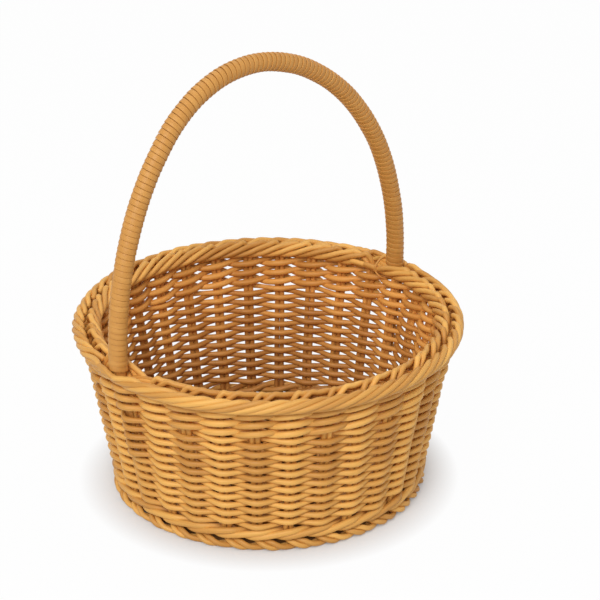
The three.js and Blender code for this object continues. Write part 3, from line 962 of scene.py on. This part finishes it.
# the hoop's middle line from its right leg to its left
def hoopPoints(legHeights):
    reach, offset = basket["legReach"], basket["legOffset"]
    points = [Vector((reach, offset, height)) for height in legHeights]
    for i in range(handle["archSteps"] + 1):
        angle = math.pi * i / handle["archSteps"]
        x = reach * math.cos(angle) - handle["skew"] * math.sin(angle) ** handle["skewPower"]
        height = handle["archCentre"] + (handle["archTop"] - handle["archCentre"]) * math.sin(angle)
        points.append(Vector((x, offset, height)))
    return points + [Vector((-reach, offset, height)) for height in reversed(legHeights)]


def makeHandleCore():
    core = handle["coreRadius"]
    flat = (handle["tongueWidth"] / 2, handle["tongueThickness"] / 2, handle["ridgeDepth"])
    right, left = ([(tonguePoint(way, height), *flat) for height in handle["tongueHeights"]]
                   for way in (1, -1))
    whole = right + [(p, core, core, 0.0) for p in hoopPoints(handle["legHeights"])] + left[::-1]
    points, faces, places = [], [], []
    corners = handle["corners"]
    travelled = 0.0
    for i, (middle, across, deep, ridged) in enumerate(whole):
        before = whole[max(i - 1, 0)][0]
        along = (whole[min(i + 1, len(whole) - 1)][0] - before).normalized()
        outward = Vector((along.z, 0, -along.x))
        travelled += (middle - before).length
        for j in range(corners):
            angle = 2 * math.pi * j / corners
            ridge = 1 - ridged * (1 - abs(math.sin(handle["ridges"] * angle)))
            sideways = across * math.cos(angle)
            out = deep * math.sin(angle) * ridge
            points.append(middle + Vector((0, sideways, 0)) + outward * out)
            places += [sideways, out, travelled]
    rings = len(whole)
    for i in range(rings - 1):
        for j in range(corners):
            following = (j + 1) % corners
            faces.append((i * corners + j, (i + 1) * corners + j,
                          (i + 1) * corners + following, i * corners + following))
    faces.append(tuple(range(corners)))
    faces.append(tuple(reversed(range((rings - 1) * corners, rings * corners))))
    mesh = bpy.data.meshes.new("handle_core_cane")
    mesh.from_pydata([tuple(p) for p in points], [], faces)
    mesh.attributes.new("grain", "FLOAT_VECTOR", "POINT").data.foreach_set("vector", places)
    addNumbers(mesh, "tint", [handle["coreTint"]] * len(points))
    mesh.shade_smooth()
    mesh.materials.append(innerMaterial)
    keepPiece(newObject("handle_core_cane", mesh), ["handle_core"])


def makeHandleRibbon():
    guide = makeGuide("handle_ribbon", [{"points": hoopPoints((handle["ribbonFoot"], basket["rimTop"]))}])
    thickness = handle["ribbonThickness"]
    piece = drawPiece(guide, ribbonTree, {
        "Pitch": handle["ribbonPitch"], "Width": handle["ribbonWidth"], "Thickness": thickness,
        "Winding Radius": handle["coreRadius"] + handle["ribbonGap"] + thickness / 2,
        "Steps In A Turn": handle["stepsInATurn"], "Edge Radius": handle["ribbonEdge"],
        "Overlap Slope": handle["overlapSlope"], "Wobble": basket["wobble"],
        "Wobble Size": basket["wobbleSize"], "Material": ribbonMaterial,
    })
    keepPiece(piece, ["handle_wrap"])
    tail = handle["tail"]
    points = [polar(radius, turn * spacing, height) for turn, radius, height in tail["route"]]
    sizes = {"Diameter": tail["diameter"], "Steps Between Points": 6, "Wobble": 0.0, "Own Wobble": 0.0}
    makeCanes("handle_ribbon_tail", [{"points": points}], sizes, ribbonMaterial, ["handle_wrap"])


makeHandleCore()
makeHandleRibbon()
print("handle made")


# floor, light and camera

studio = {
    "floorSize": 12.0,
    "floorColour": (0.72, 0.72, 0.72),
    "floorRoughness": 0.9,
    "floorShine": 0.1,
    "floorPaintedShade": (0.2, 0.1, 0.035),  # painted shade: a dark brown disc under the basket, seen through the foot and the base
    "paintedShadeRadii": (0.1135, 0.12),  # the radii between which the painted shade ends
    "floorWhitening": 0.97,
    "floorShade": (0.112, 0.15),  # the radii between which the whitening sets in
    "skyStrength": 0.4,
    "lamps": (
        ("key", (-1.6, -1.0, 1.75), 1.3, 41.0),  # place, width, watts
        ("fill", (1.4, -1.2, 1.0), 1.6, 3.5),
        ("top", (0.2, 0.5, 2.2), 1.6, 9.0),
    ),
}
camera = {
    "azimuth": -40.8,
    "elevation": 27.5,
    "distance": 1.7,
    "target": (0, 0, 0.07),
    "aimRight": 0.025,
    "aimUp": 0.0718,
    "lens": 130.7,
    "clipEnd": 50,
}


# 1 where the camera sees a surface itself, in a gloss or through glass
def seenDirectly(tree):
    path = addNode(tree, "ShaderNodeLightPath").outputs
    mirrored = calculate(tree, "MAXIMUM", path["Is Glossy Ray"], path["Is Transmission Ray"])
    return calculate(tree, "MAXIMUM", path["Is Camera Ray"], mirrored)


def makeFloor():
    half = studio["floorSize"] / 2
    mesh = bpy.data.meshes.new("floor")
    corners = [(-half, -half, 0), (half, -half, 0), (half, half, 0), (-half, half, 0)]
    mesh.from_pydata(corners, [], [(0, 1, 2, 3)])
    material = bpy.data.materials.new("floor")
    material.use_nodes = True
    tree = material.node_tree
    shader = tree.nodes["Principled BSDF"]
    shader.inputs["Roughness"].default_value = studio["floorRoughness"]
    shader.inputs["Specular IOR Level"].default_value = studio["floorShine"]
    white = addNode(tree, "ShaderNodeEmission", {"Color": (1, 1, 1, 1), "Strength": 1.0}).outputs[0]
    away = vectorLength(tree, addNode(tree, "ShaderNodeTexCoord").outputs["Object"])
    # painted shade: the floor is dark brown under the basket, up to these radii
    outside = mapRange(tree, away, *studio["paintedShadeRadii"])
    colour = mixColour(tree, outside, (*studio["floorPaintedShade"], 1), (*studio["floorColour"], 1))
    tree.links.new(colour, shader.inputs["Base Color"])
    whitening = mapRange(tree, away, *studio["floorShade"], 0.0, studio["floorWhitening"])
    share = calculate(tree, "MULTIPLY", seenDirectly(tree), whitening)
    mixed = addNode(tree, "ShaderNodeMixShader", {0: share, 1: shader.outputs[0], 2: white}).outputs[0]
    tree.links.new(mixed, tree.nodes["Material Output"].inputs["Surface"])
    mesh.materials.append(material)
    floor = newObject("floor", mesh)


def makeSky():
    world = bpy.data.worlds.new("studio")
    bpy.context.scene.world = world
    world.use_nodes = True
    tree = world.node_tree
    sky = tree.nodes["Background"]
    sky.inputs["Color"].default_value = (1, 1, 1, 1)
    strength = mapRange(tree, seenDirectly(tree), 0.0, 1.0, studio["skyStrength"], 1.0)
    tree.links.new(strength, sky.inputs["Strength"])


def turnTo(thing, target):
    thing.rotation_mode = "QUATERNION"
    thing.rotation_quaternion = (target - thing.location).to_track_quat("-Z", "Y")


def makeLamps():
    for name, place, size, power in studio["lamps"]:
        light = bpy.data.lights.new(name, "AREA")
        light.size = size
        light.energy = power
        lamp = newObject(name, light)
        lamp.location = place
        turnTo(lamp, Vector(camera["target"]))


def makeCamera():
    azimuth = math.radians(camera["azimuth"])
    elevation = math.radians(camera["elevation"])
    level = math.cos(elevation)
    back = Vector((math.sin(azimuth) * level, -math.cos(azimuth) * level, math.sin(elevation)))
    right = Vector((math.cos(azimuth), math.sin(azimuth), 0))
    target = Vector(camera["target"])
    data = bpy.data.cameras.new("camera")
    data.lens = camera["lens"]
    data.clip_end = camera["clipEnd"]
    eye = newObject("camera", data)
    eye.location = target + back * camera["distance"]
    turnTo(eye, target + right * camera["aimRight"] + back.cross(right) * camera["aimUp"])
    bpy.context.scene.camera = eye


makeFloor()
makeSky()
makeLamps()
makeCamera()
bpy.context.scene.view_settings.view_transform = "Standard"
print("studio made")
